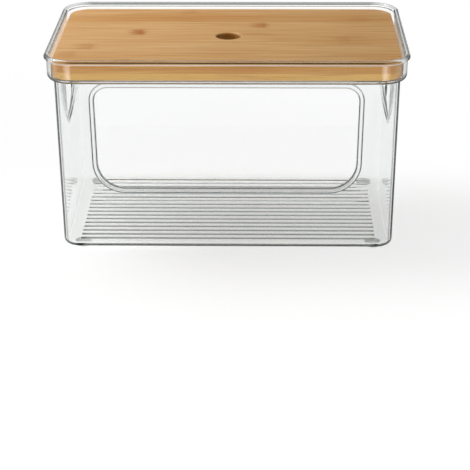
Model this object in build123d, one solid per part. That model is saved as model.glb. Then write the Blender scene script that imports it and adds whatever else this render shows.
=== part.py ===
from build123d import *
import math
import os

# A clear stackable storage bin with an open front and a drop-in bamboo lid.
# Millimetres, +Z up, front towards -Y. The origin is under the middle of the bin,
# on the surface that its feet stand on.

# Overall size
rim_width = 330.0            # left to right, over the rim bead
rim_depth = 206.0            # front to back, over the rim bead
bin_height = 186.0           # soles of the feet to the top of the rim
rim_corner = 27.0            # plan radius of the rim bead's corners

# Clear moulding: walls and base
wall = 2.6                   # thickness of the walls
floor_thickness = 3.0
draft = 1.0                  # degrees that the walls lean in towards the base
base_round = 5.0             # outside radius between the walls and the base
floor_round = 3.0            # inside radius between the walls and the floor

# Clear moulding: collar, rim bead and the ledge that carries the lid
rim_overhang = 2.4           # how far the bead stands out from the collar
bead_height = 4.6
bead_round = 2.2             # along the bead's outer top edge
bead_bevel = 1.4             # along its underside
rim_inner_bevel = 1.0        # where the lid is guided in
ledge_width = 6.0            # the step in, from the collar to the walls below
ledge_thickness = 3.8
shoulder_round = 5.4         # outside radius under the collar

# Window in the front wall, with a raised bead round it
window_margin = 37.2         # from the wall's edge to the opening, at its top
window_drop = 3.8            # from the shoulder down to the opening
window_height = 96.6
window_top_radius = 12.6
window_bottom_radius = 24.0
frame_width = 5.0
frame_proud = 1.8            # the bead stands out of the wall by this much
frame_inner_proud = 0.6      # and into the bin by this much
frame_bevel = 1.2            # along both edges of the bead's crown

# Finger recess in the middle of each short side, under the shoulder
recess_width = 52.0
recess_depth = 14.0          # at its top
recess_height = 61.6
recess_bevel = 3.0           # where its back meets its two ends

# Ribs that keep what is stored off the floor
rib_pitch = 9.5
rib_width = 2.8              # at its root
rib_crown_width = 1.4
rib_height = 1.4
rib_end_gap = 13.0           # from a rib's end to the side wall
rib_side_gap = 9.0           # least gap from the outer ribs to the front and back walls

# Feet: clear pads, each set in a shallow seat in the base
foot_diameter = 14.0
foot_height = 2.0            # how far a foot stands out of the base
foot_seat_depth = 0.8
foot_seat_gap = 0.15
foot_inset_x = 18.0          # from the side wall's outside, at the base, to the foot's centre
foot_inset_y = 13.5          # the same from the front or back wall

# Bamboo lid: two plies of glued staves, with a finger hole in the middle
ply_thickness = 6.8
lid_gap = 1.5                # between the lid's edge and the collar
lid_recess = 6.0             # from the top of the rim down to the lid
lid_edge_bevel = 1.2
upper_stave_count = 8
lower_stave_count = upper_stave_count - 1  # so that no two joints line up
finger_hole_diameter = 22.0
finger_hole_round = 1.6      # along its top edge
finger_hole_bevel = 1.0      # along its bottom edge

# Levels
base_z = foot_height
floor_z = base_z + floor_thickness
lid_top_z = bin_height - lid_recess
ledge_z = lid_top_z - 2 * ply_thickness
shoulder_z = ledge_z - ledge_thickness

# Plan sizes: each outline is the rim's outline moved in by an inset
collar_inset = rim_overhang
pocket_inset = collar_inset + wall
lid_inset = pocket_inset + lid_gap
body_inset = collar_inset + ledge_width
cavity_inset = body_inset + wall
lean = math.tan(math.radians(draft))
body_half_width = rim_width / 2 - body_inset
body_half_depth = rim_depth / 2 - body_inset
base_half_width = body_half_width - lean * (shoulder_z - base_z)
base_half_depth = body_half_depth - lean * (shoulder_z - base_z)
floor_half_width = body_half_width - wall - lean * (shoulder_z - floor_z)
floor_half_depth = body_half_depth - wall - lean * (shoulder_z - floor_z)


def outline(inset):
    """The rim's plan outline, moved in by an inset."""
    return RectangleRounded(rim_width - 2 * inset, rim_depth - 2 * inset, rim_corner - inset)


def slab(inset, low, high):
    """A straight-sided block between two levels."""
    return extrude(Pos(0, 0, low) * outline(inset), amount=high - low)


def drafted_block(inset, high, low):
    """A block that leans in by the draft angle from its top level down."""
    top = Plane(origin=(0, 0, high), x_dir=(1, 0, 0), z_dir=(0, 0, -1))
    return extrude(top * outline(inset), amount=high - low, taper=draft)


def collar():
    """The upright band round the lid, with the rolled bead along its top."""
    band = slab(collar_inset, shoulder_z, bin_height - bead_height / 2)
    band = fillet(band.edges().group_by(Axis.Z)[0], shoulder_round)
    bead = slab(0, bin_height - bead_height, bin_height)
    bead = fillet(bead.edges().group_by(Axis.Z)[-1], bead_round)
    bead = chamfer(bead.edges().group_by(Axis.Z)[0], bead_bevel)
    return band + bead


def recess_block(growth):
    """The wedge of space for the fingers, on the right-hand side, grown by a thickness."""
    drop = recess_height
    depth = recess_depth - lean * drop
    radius = (depth ** 2 + drop ** 2) / (2 * depth)
    back_x = body_half_width - recess_depth
    centre_x = back_x + radius
    sweep_angle = math.asin(drop / radius)
    grown = radius + growth
    reach_x = rim_width / 2
    start = (back_x - growth, 0, shoulder_z)
    middle = (
        centre_x - grown * math.cos(sweep_angle / 2),
        0,
        shoulder_z - grown * math.sin(sweep_angle / 2),
    )
    tip = (centre_x - grown * math.cos(sweep_angle), 0, shoulder_z - grown * math.sin(sweep_angle))
    top_z = shoulder_z + growth
    profile = [
        ThreePointArc(start, middle, tip),
        Line(tip, (reach_x, 0, tip[2])),
        Line((reach_x, 0, tip[2]), (reach_x, 0, top_z)),
        Line((reach_x, 0, top_z), (back_x - growth, 0, top_z)),
    ]
    if growth > 0:
        profile.append(Line((back_x - growth, 0, top_z), start))
    face = make_face(profile)
    block = extrude(face, amount=recess_width / 2 + growth, dir=(0, 1, 0), both=True)
    ends = block.edges().filter_by(GeomType.CIRCLE)
    return chamfer(ends, recess_bevel + growth * (2 - math.sqrt(2)))


def both_sides(right):
    """The right-hand shape together with its mirror image on the left."""
    return right + mirror(right, about=Plane.YZ)


def window_parts():
    """The opening in the front wall and the bead round it."""
    lean_angle = math.radians(draft)
    front = Plane(
        origin=(0, -body_half_depth, shoulder_z),
        x_dir=(1, 0, 0),
        z_dir=(0, -math.cos(lean_angle), -math.sin(lean_angle)),
    )
    top_half = body_half_width - window_margin
    bottom_half = top_half - lean * window_height
    high = -window_drop
    low = high - window_height
    shape = make_face(
        Polyline((-bottom_half, low), (bottom_half, low), (top_half, high), (-top_half, high), close=True)
    )
    shape = fillet(shape.vertices().group_by(Axis.Y)[-1], window_top_radius)
    shape = fillet(shape.vertices().sort_by(Axis.Y)[:2], window_bottom_radius)
    ring = offset(shape, frame_width) - shape
    depth = frame_proud + wall + frame_inner_proud
    outer_face = front.offset(frame_proud)
    bead = extrude(outer_face * ring, amount=-depth)
    crown = bead.edges().filter_by(lambda edge: abs(outer_face.to_local_coords(edge @ 0.5).Z) < 0.01)
    bead = chamfer(crown, frame_bevel)
    cut = extrude(front.offset(2 * frame_proud) * shape, amount=-(depth + 4 * frame_proud))
    return cut, bead


def ribs():
    """Parallel ribs along the floor, evenly spaced about the middle."""
    span = 2 * (floor_half_depth - rib_side_gap)
    count = int(span / rib_pitch) + 1
    half_length = floor_half_width - rib_end_gap
    root = rib_width / 2
    crown = rib_crown_width / 2
    section = make_face(
        Polyline((0, -root, 0), (0, -crown, rib_height), (0, crown, rib_height), (0, root, 0), close=True)
    )
    rib = extrude(section, amount=half_length, dir=(1, 0, 0), both=True)
    first_y = -(count - 1) * rib_pitch / 2
    return [Pos(0, first_y + index * rib_pitch, floor_z) * rib for index in range(count)]


def foot_places():
    """The name and centre of each foot."""
    x = base_half_width - foot_inset_x
    y = base_half_depth - foot_inset_y
    return {
        "foot_front_left": (-x, -y),
        "foot_front_right": (x, -y),
        "foot_back_left": (-x, y),
        "foot_back_right": (x, y),
    }


def bin_body():
    """The clear moulding, in one piece."""
    block = drafted_block(body_inset, shoulder_z, base_z)
    block = fillet(block.edges().group_by(Axis.Z)[0], base_round)
    cavity = drafted_block(cavity_inset, shoulder_z, floor_z)
    cavity = fillet(cavity.edges().group_by(Axis.Z)[0], floor_round)
    throat = slab(cavity_inset, shoulder_z, bin_height)
    pocket = slab(pocket_inset, ledge_z, bin_height + bead_height)
    cut, bead = window_parts()
    body = block + collar() + bead - cavity - throat - pocket - cut
    body = chamfer(rim_inner_edges(body), rim_inner_bevel)
    body = body + (both_sides(recess_block(wall)) & (cavity + throat)) - both_sides(recess_block(0))
    body = body + ribs()
    seat = Cylinder(foot_diameter / 2 + foot_seat_gap, 2 * foot_seat_depth)
    for x, y in foot_places().values():
        body = body - Pos(x, y, base_z) * seat
    return body


def rim_inner_edges(body):
    """The edges round the top of the pocket that the lid drops into."""
    top = body.edges().group_by(Axis.Z)[-1]
    width = rim_width - 2 * pocket_inset
    depth = rim_depth - 2 * pocket_inset
    return top.filter_by(
        lambda edge: abs(edge.center().X) < width / 2 + 0.1 and abs(edge.center().Y) < depth / 2 + 0.1
    )


def foot():
    """One clear pad, standing on its sole at the origin."""
    return extrude(Circle(foot_diameter / 2), amount=foot_height + foot_seat_depth)


def lid_board():
    """The whole lid in one block, before it is parted into plies and staves."""
    board = slab(lid_inset, ledge_z, lid_top_z)
    rings = board.edges().group_by(Axis.Z)
    board = chamfer(rings[0] + rings[-1], lid_edge_bevel)
    board = board - Pos(0, 0, ledge_z) * Cylinder(finger_hole_diameter / 2, 4 * ply_thickness)
    board = fillet(hole_edges(board)[-1], finger_hole_round)
    return chamfer(hole_edges(board)[0], finger_hole_bevel)


def hole_edges(board):
    """The finger hole's round edges, from the lowest to the highest."""
    return board.edges().filter_by(lambda edge: edge.is_closed and edge.geom_type == GeomType.CIRCLE).sort_by(Axis.Z)


def parted(board, count, low, high):
    """One ply of the board, parted into equal staves from front to back."""
    lid_depth = rim_depth - 2 * lid_inset
    stave_width = lid_depth / count
    strip = Box(rim_width, stave_width, high - low, align=(Align.CENTER, Align.MIN, Align.MIN))
    return [board & (Pos(0, index * stave_width - lid_depth / 2, low) * strip) for index in range(count)]


def lid_staves():
    """The lid's staves by name, from front to back in each ply."""
    board = lid_board()
    middle_z = ledge_z + ply_thickness
    upper = parted(board, upper_stave_count, middle_z, lid_top_z)
    lower = parted(board, lower_stave_count, ledge_z, middle_z)
    staves = {f"lid_upper_stave_{index + 1}": piece for index, piece in enumerate(upper)}
    staves.update({f"lid_lower_stave_{index + 1}": piece for index, piece in enumerate(lower)})
    return staves


def assembly():
    """Every piece by the name of its node."""
    pieces = {"bin_body": bin_body()}
    for name, (x, y) in foot_places().items():
        pieces[name] = Pos(x, y, 0) * foot()
    pieces.update(lid_staves())
    return pieces


os.makedirs("parts", exist_ok=True)
for name, piece in assembly().items():
    export_step(piece, f"parts/{name}.step")
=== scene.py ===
import math

import bmesh
import bpy
from mathutils import Matrix, Vector


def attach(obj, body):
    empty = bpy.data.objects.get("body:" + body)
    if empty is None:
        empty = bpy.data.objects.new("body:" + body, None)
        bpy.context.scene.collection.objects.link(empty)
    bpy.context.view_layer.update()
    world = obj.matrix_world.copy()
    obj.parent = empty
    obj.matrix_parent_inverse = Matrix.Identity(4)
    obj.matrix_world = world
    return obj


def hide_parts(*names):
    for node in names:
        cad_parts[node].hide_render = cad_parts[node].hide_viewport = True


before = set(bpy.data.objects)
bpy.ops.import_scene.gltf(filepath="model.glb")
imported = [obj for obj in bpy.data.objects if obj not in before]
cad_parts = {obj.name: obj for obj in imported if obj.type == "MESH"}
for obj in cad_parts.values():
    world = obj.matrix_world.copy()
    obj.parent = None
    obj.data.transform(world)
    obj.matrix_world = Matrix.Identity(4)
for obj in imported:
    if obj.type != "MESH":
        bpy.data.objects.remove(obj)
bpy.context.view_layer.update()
print("frame loaded:", len(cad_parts), "nodes")

mm = 0.001
hair = 0.001 * mm                 # places closer than this are one place


# helpers for the mesh tools

def selectNothing():
    bpy.ops.object.select_all(action="DESELECT")


def selectWhole():
    bpy.ops.mesh.select_all(action="SELECT")


def useOnly(piece):
    if bpy.context.object and bpy.context.object.mode != "OBJECT":
        bpy.ops.object.mode_set(mode="OBJECT")
    selectNothing()
    piece.select_set(True)
    bpy.context.view_layer.objects.active = piece


def startEdit(piece, mode):
    useOnly(piece)
    bpy.ops.object.mode_set(mode="EDIT")
    bpy.ops.mesh.select_mode(type=mode)


def endEdit():
    bpy.ops.object.mode_set(mode="OBJECT")


def extrude(x, y, z):
    bpy.ops.mesh.extrude_region_move(TRANSFORM_OT_translate={"value": (x, y, z)})


def faceOutwards():
    selectWhole()
    bpy.ops.mesh.normals_make_consistent(inside=False)


def pick(piece, kind, test):
    # selects the faces, edges or verts that pass a test, in edit mode
    mesh = bmesh.from_edit_mesh(piece.data)
    parts = {"faces": mesh.faces, "edges": mesh.edges, "verts": mesh.verts}[kind]
    for part in parts:
        part.select_set(False)
    for part in parts:
        if test(part):
            part.select_set(True)
    bmesh.update_edit_mesh(piece.data)


def placed(piece):
    # puts the object's place into its mesh, so that it sits at the origin
    useOnly(piece)
    bpy.ops.object.transform_apply(location=True, rotation=True, scale=True)
    return piece


def roundedPlane(name, width, depth, radius, segments, height):
    # a flat face with round corners
    selectNothing()
    bpy.ops.mesh.primitive_plane_add(size=1, location=(0, 0, height))
    piece = bpy.context.object
    piece.name = name
    piece.scale = (width, depth, 1)
    placed(piece)
    startEdit(piece, "VERT")
    selectWhole()
    bpy.ops.mesh.bevel(offset=radius, segments=segments, affect="VERTICES")
    endEdit()
    return piece


def followProfile(piece, facing, points):
    # leads the end face along a profile of (inset, height) points
    # facing is 1 for the top face and -1 for the bottom one
    startEdit(piece, "FACE")
    heights = [v.co.z for v in bmesh.from_edit_mesh(piece.data).verts]
    end = max(heights) if facing > 0 else min(heights)
    pick(piece, "faces", lambda face: face.normal.z * facing > 0.9
         and abs(face.calc_center_median().z - end) < hair)
    for (inset, height), (nextInset, nextHeight) in zip(points, points[1:]):
        step = nextInset - inset
        rise = nextHeight - height
        if step < hair / 10:
            extrude(0, 0, rise)
        else:
            bpy.ops.mesh.inset(thickness=step, depth=rise * facing)
    endEdit()


def arc(centreInset, centreHeight, radius, start, stop, steps):
    # points of an arc in a profile: 0 degrees is towards a larger inset and 90 degrees is up
    points = []
    for index in range(steps + 1):
        angle = math.radians(start + (stop - start) * index / steps)
        points.append((centreInset + radius * math.cos(angle), centreHeight + radius * math.sin(angle)))
    return points


def combine(piece, tool, operation):
    modifier = piece.modifiers.new("combine", "BOOLEAN")
    modifier.operation = operation
    modifier.solver = "EXACT"
    modifier.object = tool
    useOnly(piece)
    bpy.ops.object.modifier_apply(modifier=modifier.name)
    bpy.data.objects.remove(tool)


def copied(piece, name):
    twin = piece.copy()
    twin.data = piece.data.copy()
    twin.name = name
    bpy.context.scene.collection.objects.link(twin)
    return twin


def joined(pieces):
    # makes one object of several
    selectNothing()
    for piece in pieces:
        piece.select_set(True)
    bpy.context.view_layer.objects.active = pieces[0]
    bpy.ops.object.join()
    return pieces[0]


pieceAngle = 32                   # degrees up to which an edge is shaded soft
toolAngle = 30


def cleaned(piece, smoothAngle):
    # one closed shell with its faces outwards, soft over its rounds and flat elsewhere
    startEdit(piece, "VERT")
    selectWhole()
    bpy.ops.mesh.remove_doubles(threshold=2 * hair)
    bpy.ops.mesh.normals_make_consistent(inside=False)
    endEdit()
    bpy.ops.object.shade_smooth_by_angle(angle=math.radians(smoothAngle))
    modifier = piece.modifiers.new("evenNormals", "WEIGHTED_NORMAL")
    modifier.keep_sharp = True
    modifier.weight = 80
    bpy.ops.object.modifier_apply(modifier=modifier.name)
    return piece


# the clear moulding

binShape = {
    "rimWidth": 330 * mm,
    "rimDepth": 206 * mm,
    "height": 186 * mm,
    "rimCorner": 27 * mm,
    "cornerSegments": 20,
    "wall": 2.6 * mm,
    "draft": 1.0,                 # how many degrees the walls lean
    "base": 2 * mm,
    "floor": 5 * mm,
    "baseRound": 5 * mm,
    "floorRound": 3 * mm,
    "beadBottom": 181.4 * mm,     # underside of the rolled rim
    "beadRound": 2.4 * mm,
    "beadUnder": 2.0 * mm,
    "rimInnerRound": 2.3 * mm,
    "ledge": 166.3 * mm,          # a hair under the lid
    "ledgeRound": 0.5 * mm,
    "shoulder": 162.6 * mm,       # where the walls widen into the collar
    "shoulderRound": 5.4 * mm,
    "collarInset": 2.4 * mm,
    "pocketInset": 5.0 * mm,      # inner face of the collar, round the lid
    "bodyInset": 8.4 * mm,        # outer face of the walls, at their top
    "cavityInset": 11.0 * mm,     # inner face of the walls, at their top
    # how many faces go round each arc of the profile
    "steps": {"beadUnder": 4, "shoulder": 8, "base": 7, "bead": 7, "rimInner": 7, "ledge": 2, "floor": 5},
}
lean = math.tan(math.radians(binShape["draft"]))


def shellBlank():
    b = binShape
    steps = b["steps"]
    piece = roundedPlane("clearShell", b["rimWidth"], b["rimDepth"], b["rimCorner"], b["cornerSegments"],
                         b["beadBottom"] + b["beadUnder"])
    startEdit(piece, "FACE")
    selectWhole()
    band = b["height"] - b["beadRound"] - b["beadBottom"] - b["beadUnder"]
    extrude(0, 0, band)
    faceOutwards()
    endEdit()
    # outside, from the bead down to the base
    outside = arc(b["beadUnder"], b["beadBottom"] + b["beadUnder"],
                  b["beadUnder"], 180, 270, steps["beadUnder"])
    outside += [(b["collarInset"], b["beadBottom"])]
    outside += [(b["collarInset"], b["shoulder"] + b["shoulderRound"])]
    outside += arc(b["collarInset"] + b["shoulderRound"], b["shoulder"] + b["shoulderRound"],
                   b["shoulderRound"], 180, 270, steps["shoulder"])[1:]
    outside += [(b["bodyInset"], b["shoulder"])]
    drop = b["shoulder"] - b["base"] - b["baseRound"]
    foot = b["bodyInset"] + lean * drop
    outside += [(foot, b["base"] + b["baseRound"])]
    outside += arc(foot + b["baseRound"], b["base"] + b["baseRound"],
                   b["baseRound"], 180, 270, steps["base"])[1:]
    followProfile(piece, -1, outside)
    # inside, over the rim and down to the floor
    inside = arc(b["beadRound"], b["height"] - b["beadRound"], b["beadRound"], 180, 90, steps["bead"])
    inside += arc(b["pocketInset"] - b["rimInnerRound"], b["height"] - b["rimInnerRound"],
                  b["rimInnerRound"], 90, 0, steps["rimInner"])
    inside += [(b["pocketInset"], b["ledge"])]
    inside += arc(b["cavityInset"] - b["ledgeRound"], b["ledge"] - b["ledgeRound"],
                  b["ledgeRound"], 90, 0, steps["ledge"])
    inside += [(b["cavityInset"], b["shoulder"])]
    drop = b["shoulder"] - b["floor"] - b["floorRound"]
    foot = b["cavityInset"] + lean * drop
    inside += [(foot, b["floor"] + b["floorRound"])]
    inside += arc(foot + b["floorRound"], b["floor"] + b["floorRound"],
                  b["floorRound"], 180, 270, steps["floor"])[1:]
    followProfile(piece, 1, inside)
    return piece


windowShape = {
    "halfTop": 119.4 * mm,        # half the opening's width, at its top
    "height": 96.6 * mm,
    "drop": 3.8 * mm,             # from the shoulder down to the opening
    "topRadius": 12.6 * mm,
    "bottomRadius": 24 * mm,
    "beadWidth": 5 * mm,
    "proud": 1.8 * mm,            # how far the bead stands out in front
    "innerProud": 0.6 * mm,       # and behind
    "crownRound": 1.75 * mm,
    "innerRound": 0.5 * mm,
    "topSteps": 12,
    "bottomSteps": 16,
    "crownSteps": 5,
    "innerSteps": 2,
    "cutterDepth": 12 * mm,       # of the tool that opens the wall
    "cutterProud": 6 * mm,
}


def windowFace(name, growth):
    # the opening's outline, flat in XZ, grown all round
    w = windowShape
    middle = binShape["shoulder"] - w["drop"] - w["height"] / 2
    height = w["height"] + 2 * growth
    selectNothing()
    bpy.ops.mesh.primitive_plane_add(size=1, location=(0, 0, middle), rotation=(math.radians(90), 0, 0))
    piece = bpy.context.object
    piece.name = name
    piece.scale = (2 * (w["halfTop"] + growth), height, 1)
    placed(piece)
    startEdit(piece, "VERT")
    pick(piece, "verts", lambda vert: vert.co.z < middle)
    narrowing = 1 - lean * height / (w["halfTop"] + growth)
    bpy.ops.transform.resize(value=(narrowing, 1, 1), center_override=(0, 0, middle))
    pick(piece, "verts", lambda vert: vert.co.z > middle)
    bpy.ops.mesh.bevel(offset=w["topRadius"] + growth, segments=w["topSteps"], affect="VERTICES")
    pick(piece, "verts", lambda vert: vert.co.z < middle - height / 2 + hair)
    bpy.ops.mesh.bevel(offset=w["bottomRadius"] + growth, segments=w["bottomSteps"], affect="VERTICES")
    endEdit()
    return piece


def onFrontWall(piece, thickness, proud):
    # gives the flat shape its thickness and sets it in the front wall, leaning as the wall leans
    frontY = binShape["bodyInset"] - binShape["rimDepth"] / 2
    startEdit(piece, "FACE")
    selectWhole()
    extrude(0, thickness, 0)
    selectWhole()
    bpy.ops.transform.translate(value=(0, -proud, 0))
    endEdit()
    piece.matrix_world = (Matrix.Translation((0, frontY, binShape["shoulder"]))
                          @ Matrix.Rotation(math.radians(binShape["draft"]), 4, "X")
                          @ Matrix.Translation((0, 0, -binShape["shoulder"])))
    return piece


def windowCutter():
    # reaches to the middle of the bead, which then covers the cut
    piece = windowFace("windowCutter", windowShape["beadWidth"] / 2)
    onFrontWall(piece, windowShape["cutterDepth"], windowShape["cutterProud"])
    placed(piece)
    cleaned(piece, toolAngle)
    return piece


def windowBead():
    w = windowShape
    depth = w["proud"] + binShape["wall"] + w["innerProud"]
    piece = windowFace("windowBead", w["beadWidth"])
    startEdit(piece, "FACE")
    selectWhole()
    bpy.ops.mesh.inset(thickness=w["beadWidth"], depth=0)
    bpy.ops.mesh.delete(type="FACE")
    endEdit()
    onFrontWall(piece, depth, w["proud"])
    startEdit(piece, "FACE")
    faceOutwards()
    for facing, size, steps in ((-1, w["crownRound"], w["crownSteps"]),
                                (1, w["innerRound"], w["innerSteps"])):
        bpy.ops.mesh.select_mode(type="FACE")
        pick(piece, "faces", lambda face: face.normal.y * facing > 0.99)
        bpy.ops.mesh.region_to_loop()
        bpy.ops.mesh.bevel(offset=size, segments=steps, affect="EDGES", clamp_overlap=True)
    endEdit()
    return placed(piece)


recessShape = {
    "width": 52 * mm,
    "depth": 14 * mm,
    "drop": 61.6 * mm,            # from the shoulder down to its foot
    "endRound": 3 * mm,
    "endSteps": 5,
    "steps": 14,
    "outwards": 16 * mm,
    "outerRise": 0.05 * mm,       # how far the cut starts above the shoulder
    "innerReach": 30 * mm,
    "innerEnd": 154.7 * mm,       # where its outer side ends, inside the wall
    "innerTail": 0.01,            # radians that it runs on below the recess
}


def recessWedge(name, growth, above, below, reach):
    # the space for the fingers on the right-hand side: an upright sheet spun round, then led outwards
    # above is how far it starts over the shoulder, and below the angle that it runs on past its foot
    r = recessShape
    deep = r["depth"] - lean * r["drop"]
    radius = (deep ** 2 + r["drop"] ** 2) / (2 * deep)
    backX = binShape["rimWidth"] / 2 - binShape["bodyInset"] - r["depth"]
    centre = Vector((backX + radius, 0, binShape["shoulder"]))
    grown = radius + growth
    half = r["width"] / 2 + growth
    firstAngle = -math.asin(above / grown)
    lastAngle = math.asin(r["drop"] / radius) + below
    selectNothing()
    bpy.ops.mesh.primitive_plane_add(size=1)
    piece = bpy.context.object
    piece.name = name
    startEdit(piece, "VERT")
    # only the sheet's left edge is kept, which stands at -0.5
    pick(piece, "verts", lambda vert: vert.co.x > 0)
    bpy.ops.mesh.delete(type="VERT")
    selectWhole()
    bpy.ops.transform.resize(value=(1, 2 * half, 1))
    start = centre + Vector((-grown * math.cos(firstAngle), 0, -grown * math.sin(firstAngle)))
    bpy.ops.transform.translate(value=start - Vector((-0.5, 0, 0)))
    bpy.ops.mesh.spin(steps=r["steps"], angle=lastAngle - firstAngle, center=centre, axis=(0, 1, 0))
    bpy.ops.mesh.select_mode(type="FACE")
    selectWhole()
    extrude(reach, 0, 0)
    faceOutwards()
    bpy.ops.mesh.select_mode(type="EDGE")

    def onArc(vert):
        return abs(math.hypot(vert.co.x - centre.x, vert.co.z - centre.z) - grown) < 10 * hair

    pick(piece, "edges", lambda edge: onArc(edge.verts[0]) and onArc(edge.verts[1])
         and edge.verts[0].co.y == edge.verts[1].co.y)
    bpy.ops.mesh.bevel(offset=r["endRound"] + growth, segments=r["endSteps"], affect="EDGES")
    endEdit()
    return piece


def mirroredCopy(piece, name):
    twin = copied(piece, name)
    twin.scale.x = -1
    placed(twin)
    return cleaned(twin, toolAngle)


ribShape = {
    "pitch": 9.5 * mm,
    "count": 17,
    "halfLength": 138.2 * mm,
    "root": 2.8 * mm,
    "height": 1.4 * mm,
    "crownRound": 0.6 * mm,
    "crownSteps": 3,
    "crownShare": 0.6,            # of the root's width
    "sunk": 0.8 * mm,             # how far its root goes into the floor
}


def ribBar():
    # one bar with a narrowed, rounded crown
    r = ribShape
    selectNothing()
    middle = binShape["floor"] + (r["height"] - r["sunk"]) / 2
    bpy.ops.mesh.primitive_cube_add(size=1, location=(0, 0, middle))
    piece = bpy.context.object
    piece.name = "rib"
    piece.scale = (2 * r["halfLength"], r["root"], r["height"] + r["sunk"])
    placed(piece)
    startEdit(piece, "FACE")
    pick(piece, "faces", lambda face: face.normal.z > 0.9)
    bpy.ops.transform.resize(value=(1, r["crownShare"], 1))
    bpy.ops.mesh.select_mode(type="EDGE")
    top = binShape["floor"] + r["height"] - hair
    pick(piece, "edges", lambda edge: min(v.co.z for v in edge.verts) > top)
    bpy.ops.mesh.bevel(offset=r["crownRound"], segments=r["crownSteps"], affect="EDGES")
    endEdit()
    return piece


def allRibs():
    r = ribShape
    first = ribBar()
    bars = []
    for index in range(r["count"]):
        bar = copied(first, "rib" + str(index))
        bar.location.y = (index - (r["count"] - 1) / 2) * r["pitch"]
        bars.append(placed(bar))
    bpy.data.objects.remove(first)
    return joined(bars)


footShape = {
    "x": 135.8 * mm,
    "y": 78.3 * mm,
    "radius": 7 * mm,
    "seatRadius": 7.15 * mm,
    "seatDepth": 0.8 * mm,
    "airGap": 0.08 * mm,          # between a pad and its seat
    "soleRound": 0.5 * mm,
    "soleSteps": 3,
    "soleBand": 1.2 * mm,         # the flat ring it stands on
    "dishSlope": 0.6 * mm,
    "dish": 0.25 * mm,
    "segments": 48,
}
footPlaces = {
    "foot_front_left": (-1, -1),
    "foot_front_right": (1, -1),
    "foot_back_left": (-1, 1),
    "foot_back_right": (1, 1),
}


def seatCutters():
    f = footShape
    cutters = []
    for sideX, sideY in footPlaces.values():
        selectNothing()
        bpy.ops.mesh.primitive_cylinder_add(
            vertices=f["segments"], radius=f["seatRadius"], depth=2 * f["seatDepth"],
            location=(sideX * f["x"], sideY * f["y"], binShape["base"]))
        cutters.append(placed(bpy.context.object))
    return joined(cutters)


def clearShell():
    piece = shellBlank()
    combine(piece, windowCutter(), "DIFFERENCE")
    combine(piece, windowBead(), "UNION")
    r = recessShape
    inner = recessWedge("innerWedge", binShape["wall"], binShape["wall"], r["innerTail"], r["innerReach"])
    startEdit(inner, "FACE")
    selectWhole()
    bpy.ops.mesh.bisect(plane_co=(r["innerEnd"], 0, 0), plane_no=(1, 0, 0), use_fill=True, clear_outer=True)
    endEdit()
    combine(piece, mirroredCopy(inner, "innerWedgeLeft"), "UNION")
    combine(piece, inner, "UNION")
    outer = recessWedge("outerWedge", 0, r["outerRise"], 0, r["outwards"])
    combine(piece, mirroredCopy(outer, "outerWedgeLeft"), "DIFFERENCE")
    combine(piece, outer, "DIFFERENCE")
    combine(piece, allRibs(), "UNION")
    combine(piece, seatCutters(), "DIFFERENCE")
    return cleaned(piece, pieceAngle)


shell = clearShell()
print("clear shell:", len(shell.data.polygons), "faces")


def clearFoot():
    f = footShape
    top = binShape["base"] + f["seatDepth"] - f["airGap"]
    selectNothing()
    bpy.ops.mesh.primitive_cylinder_add(vertices=f["segments"], radius=f["radius"], depth=top,
                                        location=(0, 0, top / 2))
    piece = placed(bpy.context.object)
    startEdit(piece, "FACE")
    pick(piece, "faces", lambda face: face.normal.z < -0.9)
    bpy.ops.mesh.inset(thickness=f["soleBand"], depth=0)
    bpy.ops.mesh.inset(thickness=f["dishSlope"], depth=-f["dish"])
    bpy.ops.mesh.select_mode(type="EDGE")
    pick(piece, "edges", lambda edge: max(v.co.z for v in edge.verts) < hair
         and min(v.co.xy.length for v in edge.verts) > f["radius"] - 10 * hair)
    bpy.ops.mesh.bevel(offset=f["soleRound"], segments=f["soleSteps"], affect="EDGES")
    endEdit()
    return piece


firstFoot = clearFoot()
feet = []
for name, (sideX, sideY) in footPlaces.items():
    foot = copied(firstFoot, name + "_pad")
    foot.location = (sideX * footShape["x"], sideY * footShape["y"], 0)
    placed(foot)
    cleaned(foot, pieceAngle)
    feet.append(foot)
bpy.data.objects.remove(firstFoot)
print("feet:", len(feet))


# the bamboo lid

lidShape = {
    "width": 317 * mm,
    "depth": 193 * mm,
    "corner": 20.5 * mm,
    "cornerSegments": 20,
    "bottom": 166.4 * mm,
    "middle": 173.2 * mm,         # where the two plies meet
    "top": 180 * mm,
    "edgeRound": 1.2 * mm,
    "edgeSteps": 4,
    "upperStaves": 8,
    "lowerStaves": 7,
    "holeRadius": 11 * mm,
    "holeRound": 2.2 * mm,        # on its upper edge
    "holeUnder": 1.0 * mm,        # on its lower edge
    "holeSegments": 64,
    "holeRoundSteps": 6,
    "holeUnderSteps": 3,
    "spare": 1 * mm,              # how far cuts run past the board
}


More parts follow.
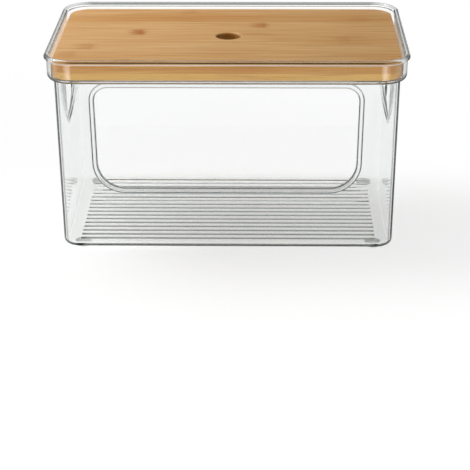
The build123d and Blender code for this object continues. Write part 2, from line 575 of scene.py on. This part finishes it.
def holeCutter():
    # a round bar that flares where the hole's two edges are rounded
    s = lidShape
    radius, height = s["holeRadius"] + s["holeRound"], s["top"] + s["spare"]
    selectNothing()
    bpy.ops.mesh.primitive_circle_add(vertices=s["holeSegments"], radius=radius, fill_type="NGON",
                                      location=(0, 0, height))
    piece = placed(bpy.context.object)
    profile = [(radius, s["top"])]
    for index in range(1, s["holeRoundSteps"] + 1):
        angle = math.pi / 2 * index / s["holeRoundSteps"]
        profile.append((s["holeRadius"] + s["holeRound"] * (1 - math.sin(angle)),
                        s["top"] - s["holeRound"] * (1 - math.cos(angle))))
    profile.append((s["holeRadius"], s["bottom"] + s["holeUnder"]))
    for index in range(1, s["holeUnderSteps"] + 1):
        angle = math.pi / 2 * index / s["holeUnderSteps"]
        profile.append((s["holeRadius"] + s["holeUnder"] * (1 - math.cos(angle)),
                        s["bottom"] + s["holeUnder"] * (1 - math.sin(angle))))
    profile.append((s["holeRadius"] + s["holeUnder"], s["bottom"] - s["spare"]))
    startEdit(piece, "FACE")
    selectWhole()
    for nextRadius, nextHeight in profile:
        extrude(0, 0, nextHeight - height)
        if nextRadius != radius:
            scale = nextRadius / radius
            bpy.ops.transform.resize(value=(scale, scale, 1), center_override=(0, 0, nextHeight))
        radius, height = nextRadius, nextHeight
    faceOutwards()
    endEdit()
    return piece


def lidBoard():
    # the whole board with its finger hole, before it is parted into staves
    s = lidShape
    piece = roundedPlane("lidBoard", s["width"], s["depth"], s["corner"], s["cornerSegments"], s["bottom"])
    startEdit(piece, "FACE")
    selectWhole()
    extrude(0, 0, s["top"] - s["bottom"])
    faceOutwards()
    bpy.ops.mesh.select_mode(type="EDGE")
    pick(piece, "edges", lambda edge: edge.verts[0].co.z == edge.verts[1].co.z)
    bpy.ops.mesh.bevel(offset=s["edgeRound"], segments=s["edgeSteps"], affect="EDGES")
    endEdit()
    combine(piece, holeCutter(), "DIFFERENCE")
    return piece


def parted(board, name, lowY, highY, lowZ, highZ):
    # one stave: a copy of the board, cut off by the joints round it
    piece = copied(board, name)
    startEdit(piece, "FACE")
    for point, normal in (((0, lowY, 0), (0, -1, 0)), ((0, highY, 0), (0, 1, 0)),
                          ((0, 0, lowZ), (0, 0, -1)), ((0, 0, highZ), (0, 0, 1))):
        selectWhole()
        bpy.ops.mesh.bisect(plane_co=point, plane_no=normal, use_fill=True, clear_outer=True, threshold=hair)
    endEdit()
    return cleaned(piece, pieceAngle)


def lidStaves():
    s = lidShape
    board = lidBoard()
    staves = []
    spare = s["spare"]
    for ply, count, lowZ, highZ in (("lower", s["lowerStaves"], s["bottom"] - spare, s["middle"]),
                                    ("upper", s["upperStaves"], s["middle"], s["top"] + spare)):
        width = s["depth"] / count
        for index in range(count):
            lowY = -s["depth"] / 2 + index * width - (spare if index == 0 else 0)
            highY = -s["depth"] / 2 + (index + 1) * width + (spare if index == count - 1 else 0)
            node = "lid_" + ply + "_stave_" + str(index + 1)
            staves.append((node, parted(board, node + "_bamboo", lowY, highY, lowZ, highZ)))
    bpy.data.objects.remove(board)
    return staves


staves = lidStaves()
print("staves:", len(staves))


# shader maths

class Wire:
    # a node's output that can be added, multiplied and so on, with each step as a Math node
    def __init__(self, recipe, socket):
        self.recipe = recipe
        self.socket = socket

    def maths(self, operation, first, second=0.0):
        return self.recipe.add("ShaderNodeMath", {"operation": operation}, {0: first, 1: second})

    def __add__(self, other):
        return self.maths("ADD", self, other)

    def __radd__(self, other):
        return self.maths("ADD", other, self)

    def __sub__(self, other):
        return self.maths("SUBTRACT", self, other)

    def __rsub__(self, other):
        return self.maths("SUBTRACT", other, self)

    def __mul__(self, other):
        return self.maths("MULTIPLY", self, other)

    def __rmul__(self, other):
        return self.maths("MULTIPLY", other, self)

    def __truediv__(self, other):
        return self.maths("DIVIDE", self, other)

    def __pow__(self, other):
        return self.maths("POWER", self, other)

    def __abs__(self):
        return self.maths("ABSOLUTE", self)

    def floor(self):
        return self.maths("FLOOR", self)

    def larger(self, other):
        return self.maths("MAXIMUM", self, other)

    def clamped(self):
        return self.recipe.add("ShaderNodeClamp", {}, {"Value": self})

    def fade(self, low, high):
        # 0 below low and 1 above high, with a soft step between; low may be the larger
        if low > high:
            return 1 - self.fade(high, low)
        return self.recipe.add("ShaderNodeMapRange", {"interpolation_type": "SMOOTHSTEP"},
                               {"Value": self, "From Min": low, "From Max": high})


class Recipe:
    # a material's or the world's nodes
    def __init__(self, tree):
        self.tree = tree
        tree.nodes.clear()

    def add(self, kind, settings=None, sockets=None, output=0):
        node = self.tree.nodes.new(kind)
        row, column = divmod(len(self.tree.nodes), 12)
        node.location = (180 * column, -160 * row)
        for name, value in (settings or {}).items():
            if name == "stops":
                ramp = node.color_ramp
                while len(ramp.elements) < len(value):
                    ramp.elements.new(1.0)
                for element, (place, colour) in zip(ramp.elements, value):
                    element.position = place
                    element.color = (*colour, 1)
            else:
                setattr(node, name, value)
        for name, value in (sockets or {}).items():
            if isinstance(value, Wire):
                self.tree.links.new(value.socket, node.inputs[name])
            else:
                node.inputs[name].default_value = value
        return Wire(self, node.outputs[output])

    def point(self):
        # where a point is on the object, in metres
        place = self.add("ShaderNodeTexCoord", output="Object")
        axes = [self.add("ShaderNodeSeparateXYZ", {}, {0: place}, output=axis) for axis in "XYZ"]
        return place, *axes

    def vector(self, x, y, z):
        return self.add("ShaderNodeCombineXYZ", {}, {"X": x, "Y": y, "Z": z})

    def noise(self, place, scale, detail=2.0, roughness=0.5):
        return self.add("ShaderNodeTexNoise", {}, {"Vector": place, "Scale": scale, "Detail": detail,
                                                   "Roughness": roughness})

    def tint(self, factor, first, second, mode="MIX"):
        return self.add("ShaderNodeMix", {"data_type": "RGBA", "blend_type": mode},
                        {0: factor, 6: first, 7: second}, output=2)

    def show(self, surface, volume=None):
        sockets = {"Surface": surface}
        if volume is not None:
            sockets["Volume"] = volume
        isWorld = surface.socket.node.type == "BACKGROUND"
        kind = "ShaderNodeOutputWorld" if isWorld else "ShaderNodeOutputMaterial"
        node = self.tree.nodes.new(kind)
        for name, value in sockets.items():
            self.tree.links.new(value.socket, node.inputs[name])


def newMaterial(name):
    material = bpy.data.materials.new(name)
    material.use_nodes = True
    return material, Recipe(material.node_tree)


def dressed(piece, material):
    piece.data.materials.clear()
    piece.data.materials.append(material)


# clear plastic and silicone

plasticLook = {
    "clear": (0.974, 0.981, 0.978, 1),
    "ior": 1.49,
    "absorbs": (0.900, 0.912, 0.908, 1),
    "density": 60.0,
    "lampShare": 0.97,
    "gloss": 0.006,               # how rough it is when new
    "dullness": 0.018,            # what handling adds, in patches
    "handledScale": 60.0,
    "handled": (0.52, 0.80),
    "waveScale": 22.0,
    "waveStrength": 0.2,
    "waveDepth": 0.03 * mm,
    "onRound": (0.003, 0.02),     # how far a face leans from square to count as part of a round
    "outwards": (0.02, 0.06),
    # painted shade on the rolled rim, first on its long sides and then on its ends
    "rimFootShade": ((0.030, 0.040, 0.038, 1), (0.520, 0.540, 0.535, 1)),
    "rimCrownShade": ((0.340, 0.360, 0.355, 1), (0.720, 0.740, 0.735, 1)),
    "rimOuterFootShade": ((0.018, 0.020, 0.020, 1), (0.760, 0.775, 0.770, 1)),
    "rimOuterCrownShade": ((0.760, 0.780, 0.775, 1), (0.860, 0.875, 0.870, 1)),
    "cornerShare": 0.6,           # how much of a corner it takes to pass from one to the other
    "rimFootHeight": 183.7 * mm,
    # heights above the rim's foot between which each painted shade comes in, and then turns into the crown's
    "innerStart": (-0.15 * mm, 0.05 * mm),
    "outerStart": (-0.1 * mm, 0.1 * mm),
    "innerRise": (0.3 * mm, 2.5 * mm),
    "outerRise": (0.8 * mm, 1.6 * mm),
    # painted shade for the thin line on the shoulder's round
    "shoulder": (0.42, 0.38, 0.34, 1),
    "shoulderShadeLine": (165.0 * mm, 166.0 * mm, 166.6 * mm, 167.4 * mm),
    # painted dark edges: how aslant a round is seen where the painted shade begins and where it is full
    "edge": (0.020, 0.023, 0.024, 1),
    "roundEdgeShade": (0.550, 0.605),
    "rimEdgeShade": (0.36, 0.62),
    "beadEdgeShade": (0.02, 0.18),
    "innerEdgeShade": (0.37, 0.475, 0.50, 0.525),
    "innerEdgeShadeShare": 0.78,
    "rimUnderside": (181.4 * mm, 181.0 * mm),
    "baseEdgeShare": 0.6,         # they are weaker at the base
    "baseEdgeHeight": (4 * mm, 12 * mm),
    "collarEdgeShare": 0.45,      # and on the collar
    "collarEdgeHeight": (168 * mm, 173 * mm),
    "frontWall": 94.6 * mm,
    "beadProud": (0.03 * mm, 0.15 * mm),
    "beadBelow": 0.2 * mm,
    "beadTopShare": 0.65,
    "beadTopHeight": (158 * mm, 150 * mm),
}


def letsLampsThrough(r, body, share):
    # lamp light goes through it to what is inside
    lampSide = r.add("ShaderNodeBsdfTransparent", {}, {"Color": (share,) * 3 + (1,)})
    isShadow = r.add("ShaderNodeLightPath", output="Is Shadow Ray")
    return r.add("ShaderNodeMixShader", {}, {0: isShadow, 1: body, 2: lampSide})


def clearPlastic():
    look = plasticLook
    material, r = newMaterial("clearPlastic")
    place, x, y, z = r.point()
    # the slow waves of a moulded wall, and a little dullness from handling
    waves = r.noise(place, look["waveScale"], 1.0)
    handled = r.noise(place, look["handledScale"], 3.0, 0.6)
    roughness = look["gloss"] + look["dullness"] * handled.fade(*look["handled"])
    bump = r.add("ShaderNodeBump", {}, {"Strength": look["waveStrength"], "Distance": look["waveDepth"],
                                        "Height": waves})
    normal = r.add("ShaderNodeTexCoord", output="Normal")
    towards = [r.add("ShaderNodeSeparateXYZ", {}, {0: normal}, output=axis) for axis in "XYZ"]
    squareness = abs(towards[0]).larger(abs(towards[1])).larger(abs(towards[2]))
    onRound = (1 - squareness).fade(*look["onRound"])
    outwards = (towards[0] * x + towards[1] * y).fade(*look["outwards"])

    def aboveRimFoot(name):
        low, high = look[name]
        return z.fade(look["rimFootHeight"] + low, look["rimFootHeight"] + high)

    # painted shade on the rolled rim, darkest at the foot of its round, in place of the dark surroundings
    # seen through the rim
    innerShadeRising = aboveRimFoot("innerRise")
    outerShadeRising = aboveRimFoot("outerRise")
    straight = binShape["rimWidth"] / 2 - binShape["rimCorner"]
    onEnd = ((abs(x) - straight) / (look["cornerShare"] * binShape["rimCorner"])).clamped()
    footShadeColour, crownShadeColour, outerFootShadeColour, outerCrownShadeColour = [
        r.tint(onEnd, *look[name]) for name in ("rimFootShade", "rimCrownShade", "rimOuterFootShade", "rimOuterCrownShade")]
    inner = r.tint(innerShadeRising, footShadeColour, crownShadeColour)
    outer = r.tint(outerShadeRising, outerFootShadeColour, outerCrownShadeColour)
    inner = r.tint(aboveRimFoot("innerStart"), look["clear"], inner)
    aboveFoot = aboveRimFoot("outerStart")
    outer = r.tint(aboveFoot, look["clear"], outer)
    colour = r.tint(outwards, inner, outer)
    # painted shade: a thin darker line on the shoulder's round, level with the lid's underside, in place of
    # the lid's shadowed underside seen through the collar
    low, lowFull, highFull, high = look["shoulderShadeLine"]
    shoulderShadeLine = z.fade(low, lowFull) * z.fade(high, highFull) * outwards * (1 - onEnd)
    colour = r.tint(shoulderShadeLine, colour, look["shoulder"])
    # painted shade: an outer round seen at a slant is tinted dark, in place of the dark surroundings that
    # refraction shows along such edges
    underRim = z.fade(*look["rimUnderside"])
    aslant = r.add("ShaderNodeLayerWeight", {}, {"Blend": 0.5}, output="Facing")
    atBase, onCollar = look["baseEdgeShare"], look["collarEdgeShare"]
    share = ((atBase + (1 - atBase) * z.fade(*look["baseEdgeHeight"]))
             * (1 - (1 - onCollar) * z.fade(*look["collarEdgeHeight"])))
    edge = onRound * outwards * underRim * share * aslant.fade(*look["roundEdgeShade"])
    edge = edge.larger(onRound * aboveFoot * (1 - onEnd) * aslant.fade(*look["rimEdgeShade"]))
    # and where it just misses the inner round, a second, thinner line of painted shade
    low, lowFull, highFull, high = look["innerEdgeShade"]
    secondShadeLine = aslant.fade(low, lowFull) * aslant.fade(high, highFull)
    edge = edge.larger(onRound * outwards * underRim * secondShadeLine * look["innerEdgeShadeShare"])
    # the bead round the window is small, so the painted shade on its edges begins sooner
    shoulder = binShape["shoulder"]
    proud = -1 * y - (look["frontWall"] - lean * (shoulder - z))
    onBead = proud.fade(*look["beadProud"]) * z.fade(shoulder, shoulder - look["beadBelow"])
    atTop = look["beadTopShare"]
    belowTop = atTop + (1 - atTop) * z.fade(*look["beadTopHeight"])
    edge = edge.larger(onRound * onBead * belowTop * aslant.fade(*look["beadEdgeShade"]))
    colour = r.tint(edge, colour, look["edge"])
    body = r.add("ShaderNodeBsdfPrincipled", {}, {
        "Base Color": colour, "Roughness": roughness, "IOR": look["ior"], "Transmission Weight": 1.0,
        "Normal": bump})
    mixed = letsLampsThrough(r, body, look["lampShare"])
    volume = r.add("ShaderNodeVolumeAbsorption", {}, {"Color": look["absorbs"], "Density": look["density"]})
    r.show(mixed, volume)
    return material


siliconeLook = {
    "face": (0.90, 0.91, 0.90, 1),       # seen square on
    "side": (0.30, 0.32, 0.31, 1),       # painted shade where the pad's round side is seen at a slant
    "aslant": (0.25, 0.75),
    "ior": 1.41,
    "lampShare": 0.8,
    "gloss": 0.22,
    "dustScale": 900.0,
    "dustDullness": 0.2,
    "dustStrength": 0.3,
    "dustDepth": 0.05 * mm,
}


def clearSilicone():
    look = siliconeLook
    material, r = newMaterial("clearSilicone")
    place = r.point()[0]
    dust = r.noise(place, look["dustScale"], 3.0, 0.6)
    roughness = look["gloss"] + look["dustDullness"] * dust
    bump = r.add("ShaderNodeBump", {}, {"Strength": look["dustStrength"], "Distance": look["dustDepth"],
                                        "Height": dust})
    # painted shade: the pad's round side is tinted dark where it is seen at a slant
    aslant = r.add("ShaderNodeLayerWeight", {}, {"Blend": 0.5}, output="Facing")
    colour = r.tint(aslant.fade(*look["aslant"]), look["face"], look["side"])
    body = r.add("ShaderNodeBsdfPrincipled", {}, {
        "Base Color": colour, "Roughness": roughness, "IOR": look["ior"], "Transmission Weight": 1.0,
        "Normal": bump})
    r.show(letsLampsThrough(r, body, look["lampShare"]))
    return material


plastic = clearPlastic()
silicone = clearSilicone()
dressed(shell, plastic)
for foot in feet:
    dressed(foot, silicone)
print("plastic and silicone made")


# bamboo

bambooLook = {
    "pale": (0.700, 0.433, 0.190, 1),
    "honey": (0.600, 0.325, 0.116, 1),
    "amber": (0.530, 0.235, 0.055, 1),
    "fibre": (0.340, 0.140, 0.036, 1),
    "knuckle": (0.420, 0.150, 0.030, 1),
    "glue": (0.270, 0.130, 0.050, 1),
    # painted shade: a warmer, darker tint on the board's sides, for how the light falls on them
    "sideShadeTint": (1.0, 0.95, 0.56, 1),
    # painted shade inside the finger hole
    "holeShade": (0.72, 0.66, 0.52, 1),
    # from the front: how far each upper stave is from pale (0) by honey (0.5) to amber (1)
    "tones": (0.44, 0.40, 0.28, 0.38, 0.34, 0.30, 0.66, 0.46),
    "lowerTones": (0.10, 0.3),           # a lower stave's least tone, and what chance adds to it
    "sideTones": (-0.06, 0.42),          # what the board's sides add, on the lower and the upper ply
    "sideFacing": (0.6, 0.9),            # how squarely a face looks along Y to be a side
    "endFacing": (0.55, 0.9),            # and along X to be an end
    # noises along the fibres: length, width, detail and roughness
    "bands": (120 * mm, 4.0 * mm, 2.0, 0.55),
    "streaks": (70 * mm, 1.3 * mm, 3.0, 0.62),
    "threads": (24 * mm, 0.32 * mm, 2.0, 0.5),
    "bandContrast": 1.7,
    "streakContrast": 1.2,
    "nextStretch": 3.7,                  # how far along the noise the next stave's stretch lies
    # dark bundles of fibre: where they begin, where they are full, and their strength
    "streakBundles": (0.54, 0.72, 0.40),
    "threadBundles": (0.54, 0.76, 0.26),
    # knuckles on the upper ply: x, stave counted from the front, half length and depth of colour
    "knuckles": ((-86 * mm, 4, 6 * mm, 1.35), (-132 * mm, 2, 8 * mm, 0.50), (29 * mm, 5, 7 * mm, 0.95),
                 (-146 * mm, 1, 7 * mm, 0.34), (108 * mm, 3, 7 * mm, 0.30), (-94 * mm, 0, 9 * mm, 0.55),
                 (126 * mm, 6, 7 * mm, 0.26), (-40 * mm, 7, 7 * mm, 0.34)),
    "knuckleWobble": ((90, 300, 300), 14 * mm),  # waves per metre along X, Y and Z, and their reach
    "knuckleRagged": 10 * mm,
    "knuckleBlot": (1.9, 0.8),           # reach in half lengths, and strength
    "knuckleEnd": (0.6, 0.5, 0.4),       # place and reach in half lengths, and strength
    "knuckleStreaks": (0.2, 1.5),
    # thin glue lines between the staves and between the plies
    "joint": (0.4925, 0.4985),
    "jointStops": (0.5 * mm, 0.8 * mm),  # how far from the board's long edges
    "jointStrength": 0.22,
    "plyLine": (0.22 * mm, 0.08 * mm),
    "plyStrength": 0.45,
    # end grain
    "dotScale": 1150.0,
    "dotRandomness": 0.85,
    "dots": (0.46, 0.20),
    "dotStrength": 0.75,
    "holeShadeEdge": (1.1 * mm, 0.5 * mm),    # how far outside the finger hole its painted shade begins, and is full
    "roughness": (0.42, 0.14, 0.08),     # of plain wood, and what streaks and threads add
    "relief": (0.5, 0.5, 0.8),           # how much streaks, threads and glue lines shape the surface
    "reliefStrength": 0.35,
    "reliefDepth": 0.06 * mm,
    "ior": 1.42,
    "coat": 0.08,
    "coatRoughness": 0.30,
}


def bambooWood():
    look = bambooLook
    s = lidShape
    material, r = newMaterial("bambooWood")
    place, x, y, z = r.point()
    upper = z.fade(s["middle"] - hair, s["middle"] + hair)
    upperPlace = (y + s["depth"] / 2) / (s["depth"] / s["upperStaves"])
    lowerPlace = (y + s["depth"] / 2) / (s["depth"] / s["lowerStaves"])
    firstLower = 20               # the lower staves' numbers, clear of the upper ones'
    along = upper * upperPlace + (1 - upper) * (lowerPlace + firstLower)
    index = along.floor()
    across = along - index
    chance = r.add("ShaderNodeTexWhiteNoise", {"noise_dimensions": "1D"}, {"W": index})
    # fibres run along X; each stave has its own stretch of them
    shifted = r.vector(x + look["nextStretch"] * index, y, z)

    def fibres(name):
        length, width, detail, rough = look[name]
        squeezed = r.add("ShaderNodeVectorMath", {"operation": "MULTIPLY"},
                         {0: shifted, 1: (1 / length, 1 / width, 1 / width)})
        return r.noise(squeezed, 1.0, detail, rough)

    bands = fibres("bands")
    streaks = fibres("streaks")
    threads = fibres("threads")
    # each stave's own tone
    count = s["upperStaves"]
    tone = r.add("ShaderNodeValToRGB", {"stops": [
        (number / count, (value,) * 3) for number, value in enumerate(look["tones"])]},
                 {0: (upperPlace / count).clamped()})
    tone.socket.node.color_ramp.interpolation = "CONSTANT"
    tone = r.add("ShaderNodeRGBToBW", {}, {0: tone})
    least, spread = look["lowerTones"]
    tone = upper * tone + (1 - upper) * (least + spread * chance)
    # the strips' sides: darker on the upper ply and a little paler on the lower one
    normal = r.add("ShaderNodeTexCoord", output="Normal")
    onSide = abs(r.add("ShaderNodeSeparateXYZ", {}, {0: normal}, output="Y")).fade(*look["sideFacing"])
    lowerSide, upperSide = look["sideTones"]
    tone = tone + onSide * (upper * (upperSide - lowerSide) + lowerSide)
    depth = (tone + look["bandContrast"] * (bands - 0.5) + look["streakContrast"] * (streaks - 0.5)).clamped()
    colour = r.tint((depth * 2).clamped(), look["pale"], look["honey"])
    colour = r.tint((depth * 2 - 1).clamped(), colour, look["amber"])
    # dark bundles of fibre
    low, high, streakStrength = look["streakBundles"]
    streakBundles = streaks.fade(low, high) * streakStrength
    low, high, threadStrength = look["threadBundles"]
    colour = r.tint(streakBundles + threads.fade(low, high) * threadStrength, colour, look["fibre"])
    # knuckles: a streaky darker blot across one stave, darkest along one end
    wobbleScale, wobbleReach = look["knuckleWobble"]
    wobble = r.noise(r.add("ShaderNodeVectorMath", {"operation": "MULTIPLY"}, {0: place, 1: wobbleScale}),
                     1.0, 2.0)
    blotReach, blotStrength = look["knuckleBlot"]
    endPlace, endReach, endStrength = look["knuckleEnd"]
    knuckle = 0.0
    for nodeX, stave, half, strength in look["knuckles"]:
        away = x - nodeX + (wobble - 0.5) * wobbleReach + (streaks - 0.5) * look["knuckleRagged"]
        onStave = abs(index - stave).fade(0.5, 0.4) * upper
        blot = abs(away).fade(blotReach * half, 0.0)
        end = abs(away - endPlace * half).fade(endReach * half, 0.0)
        knuckle = (blot * blotStrength + end * endStrength) * (onStave * strength) + knuckle
    softSides = (1 - (across - 0.5) * (across - 0.5) * 4).clamped()
    least, spread = look["knuckleStreaks"]
    colour = r.tint((knuckle * softSides * (least + spread * streaks)).clamped(), colour, look["knuckle"])
    # painted shade: the sides are made warmer and darker for how light falls on them
    colour = r.tint(onSide, colour, look["sideShadeTint"], "MULTIPLY")
    # the glue lines
    joint = abs(across - 0.5).fade(*look["joint"])
    ply = abs(z - s["middle"]).fade(*look["plyLine"])
    start, full = look["jointStops"]
    inside = abs(y).fade(s["depth"] / 2 - start, s["depth"] / 2 - full)
    glued = (joint * inside * look["jointStrength"] + ply * look["plyStrength"]).clamped()
    colour = r.tint(glued, colour, look["glue"])
    # end grain: the cut ends of the bundles, as dots
    facing = abs(r.add("ShaderNodeSeparateXYZ", {}, {0: normal}, output="X")).fade(*look["endFacing"])
    cells = r.add("ShaderNodeTexVoronoi", {"feature": "F1"}, {
        "Vector": place, "Scale": look["dotScale"], "Randomness": look["dotRandomness"]}, output="Distance")
    dots = cells.fade(*look["dots"])
    endColour = r.tint(dots * look["dotStrength"], look["honey"], look["fibre"])
    endColour = r.tint(ply * look["plyStrength"], endColour, look["glue"])
    colour = r.tint(facing, colour, endColour)
    # painted shade inside the finger hole, whose walls the light reaches less
    fromHole = (x * x + y * y) ** 0.5
    start, full = look["holeShadeEdge"]
    holeShadeMask = fromHole.fade(s["holeRadius"] + start, s["holeRadius"] + full)
    colour = r.tint(holeShadeMask, colour, look["holeShade"], "MULTIPLY")
    plain, byStreaks, byThreads = look["roughness"]
    roughness = plain + byStreaks * streaks + byThreads * threads
    byStreaks, byThreads, byJoints = look["relief"]
    relief = streaks * byStreaks + threads * byThreads - joint * inside * byJoints
    bump = r.add("ShaderNodeBump", {}, {"Strength": look["reliefStrength"], "Distance": look["reliefDepth"],
                                        "Height": relief})
    wood = r.add("ShaderNodeBsdfPrincipled", {}, {
        "Base Color": colour, "Roughness": roughness, "IOR": look["ior"], "Normal": bump,
        "Coat Weight": look["coat"], "Coat Roughness": look["coatRoughness"]})
    r.show(wood)
    return material


bamboo = bambooWood()
for _, stave in staves:
    dressed(stave, bamboo)
print("bamboo made")


# what each piece stands for

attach(shell, "bin")
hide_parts("bin_body")
for foot, node in zip(feet, footPlaces):
    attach(foot, "bin")
    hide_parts(node)
for node, stave in staves:
    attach(stave, "lid")
    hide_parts(node)
print("pieces ride on their bodies")


# floor, light and camera

studio = {
    "floorSize": 60.0,
    "floorDrop": 0.1 * mm,
    "tableColour": 0.32,          # close to the bin
    "roomColour": 0.10,           # further away
    "tableEdge": (0.5, 1.4),
    "mirrored": 0.30,             # how bright the white backdrop is in a reflection
    "fill": 0.30,
    "sideFall": 0.45,             # how much weaker the fill is from the right
    "horizon": (0.02, 0.28),      # where the white ends and the ceiling begins, as an upward slope
    "ceiling": 0.06,
    "ceilingThrough": 0.35,
    "keyPlace": (-0.55, 0.25, 0.98),
    "keyTarget": (0, 0, 0.15),
    "keySize": 0.6,
    "keyPower": 9.4,
    "frontPlace": (-0.45, -2.1, 0.25),
    "frontTarget": (0, 0, 0.14),
    "frontSize": (1.2, 0.5),
    "frontPower": 18.0,
    # two strips whose soft reflections stand on the collar's front corners: place and target
    "strips": {
        "leftStrip": ((-0.272, -0.343, 0.0873), (-0.168, -0.086, 0.173)),
        "rightStrip": ((0.258, -0.349, 0.0873), (0.166, -0.088, 0.173)),
    },
    "stripSize": (0.195, 0.05),
    "stripPower": 0.0094,
    "stripSpread": 44,
}


def backdropRays(r):
    # rays to the camera and through something clear, and rays in a reflection
    path = r.add("ShaderNodeLightPath", output="Is Camera Ray")
    through = Wire(r, path.socket.node.outputs["Is Transmission Ray"])
    glossy = Wire(r, path.socket.node.outputs["Is Glossy Ray"])
    return path, through, glossy


def paleFloor():
    s = studio
    selectNothing()
    bpy.ops.mesh.primitive_plane_add(size=s["floorSize"], location=(0, 0, -s["floorDrop"]))
    floor = bpy.context.object
    floor.name = "floor"
    material, r = newMaterial("paleFloor")
    x, y = r.point()[1:3]
    low, high = s["tableEdge"]
    near = ((x * x + y * y) ** 0.5).fade(high, low)
    colour = s["roomColour"] + near * (s["tableColour"] - s["roomColour"])
    base = r.add("ShaderNodeBsdfDiffuse", {}, {"Color": r.vector(colour, colour, colour)})
    # a backdrop ray meets white: what the lamps leave short of it is made up
    key = Vector(s["keyPlace"])
    aim = (Vector(s["keyTarget"]) - key).normalized()
    alongX, alongY = x - key.x, y - key.y
    reach = alongX * alongX + alongY * alongY + key.z ** 2
    facing = alongX * aim.x + alongY * aim.y - key.z * aim.z
    lit = s["fill"] + facing.larger(0.0) / (reach * reach) * (s["keyPower"] * key.z / math.pi ** 2)
    camera, through, glossy = backdropRays(r)
    short = (1 - colour * lit).larger(0.0)
    seen = (camera + through).clamped() * short + glossy * s["mirrored"] * (1 - near)
    glow = r.add("ShaderNodeEmission", {}, {"Color": (1, 1, 1, 1), "Strength": seen})
    r.show(r.add("ShaderNodeAddShader", {}, {0: base, 1: glow}))
    dressed(floor, material)


def studioWorld():
    s = studio
    world = bpy.data.worlds.new("studio")
    bpy.context.scene.world = world
    world.use_nodes = True
    r = Recipe(world.node_tree)
    direction = r.add("ShaderNodeTexCoord", output="Generated")
    up = r.add("ShaderNodeSeparateXYZ", {}, {0: direction}, output="Z")
    rightwards = r.add("ShaderNodeSeparateXYZ", {}, {0: direction}, output="X")
    camera, through, glossy = backdropRays(r)
    # white round the horizon and dim overhead, as a room above a white table is
    high = up.fade(*s["horizon"])
    unseen = 1 - (camera + through + glossy).clamped()
    strength = (camera + through * (1 - high * (1 - s["ceilingThrough"]))
                + glossy * (1 - high * (1 - s["ceiling"])) * s["mirrored"]
                + unseen * (1 - rightwards * s["sideFall"]) * s["fill"])
    r.show(r.add("ShaderNodeBackground", {}, {"Color": (1, 1, 1, 1), "Strength": strength}))


def panel(name, place, target, size, power):
    data = bpy.data.lights.new(name, "AREA")
    data.energy = power
    data.shape = "RECTANGLE"
    data.size, data.size_y = size
    light = bpy.data.objects.new(name, data)
    light.location = place
    light.rotation_euler = (Vector(target) - Vector(place)).to_track_quat("-Z", "Y").to_euler()
    light.visible_camera = False
    light.visible_transmission = False
    bpy.context.scene.collection.objects.link(light)
    return light


def lamps():
    s = studio
    panel("leftPanel", s["keyPlace"], s["keyTarget"], (s["keySize"], s["keySize"]), s["keyPower"])
    front = panel("frontPanel", s["frontPlace"], s["frontTarget"], s["frontSize"], s["frontPower"])
    front.visible_glossy = False
    for name, (place, target) in s["strips"].items():
        strip = panel(name, place, target, s["stripSize"], s["stripPower"])
        strip.data.spread = math.radians(s["stripSpread"])
        strip.visible_diffuse = False


paleFloor()
studioWorld()
lamps()

view = {
    "place": (0.03536, -1.48606, 0.60728),
    "down": 23.014,               # degrees, as are turn and roll
    "turn": -1.161,
    "roll": -0.250,
    "lens": 124.72,
    "sensor": 36.0,
    "farthest": 100,
}


def frontCamera():
    data = bpy.data.cameras.new("camera")
    data.lens = view["lens"]
    data.sensor_width = view["sensor"]
    data.clip_end = view["farthest"]
    camera = bpy.data.objects.new("camera", data)
    down, turn, roll = (math.radians(view[name]) for name in ("down", "turn", "roll"))
    forward = Vector((math.sin(turn) * math.cos(down), math.cos(turn) * math.cos(down), -math.sin(down)))
    right = Vector((math.cos(turn), -math.sin(turn), 0))
    up = right.cross(forward)
    sideways = right * math.cos(roll) + up * math.sin(roll)
    upwards = up * math.cos(roll) - right * math.sin(roll)
    matrix = Matrix((sideways, upwards, -forward)).transposed().to_4x4()
    matrix.translation = view["place"]
    camera.matrix_world = matrix
    bpy.context.scene.collection.objects.link(camera)
    bpy.context.scene.camera = camera


frontCamera()

# light runs a long way inside the rolled rim before it leaves
bounces = {"all": 80, "glossy": 80, "transmission": 80, "transparent": 16}
scene = bpy.context.scene
scene.view_settings.view_transform = "Standard"
scene.cycles.max_bounces = bounces["all"]
scene.cycles.transmission_bounces = bounces["transmission"]
scene.cycles.glossy_bounces = bounces["glossy"]
scene.cycles.transparent_max_bounces = bounces["transparent"]
print("floor, light and camera set")
